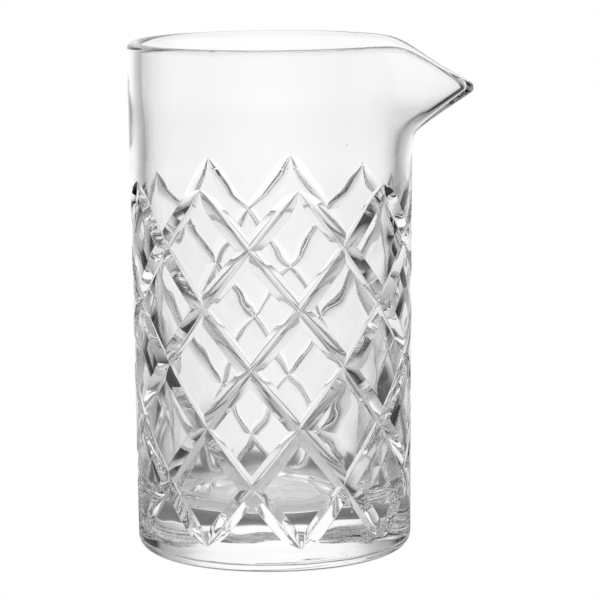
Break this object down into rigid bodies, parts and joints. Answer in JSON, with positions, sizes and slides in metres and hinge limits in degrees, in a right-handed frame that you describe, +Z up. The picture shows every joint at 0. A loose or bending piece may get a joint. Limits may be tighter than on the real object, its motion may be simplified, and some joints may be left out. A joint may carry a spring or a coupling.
{
  "type": "mixing glass",
  "caption": "Heavy clear bar mixing glass, a slightly tapered thick-footed cylinder cut with crossing V grooves into diamonds, with a plain rim drawn out into a pouring lip",
  "frame": {"origin": "centre of the flat foot, where the glass's axis meets the surface that it stands on", "axes": "+Z up along the axis of the bore, +X towards the pouring lip, +Y completes a right-handed frame; the glass is symmetric about the XZ plane"},
  "size_m": [0.1093, 0.09, 0.162],
  "materials": {
    "clear_glass": "clear pressed and fire-polished soda-lime glass"
  },
  "bodies": {
    "root": {"mixing_glass": "clear_glass"}
  },
  "joints": []
}
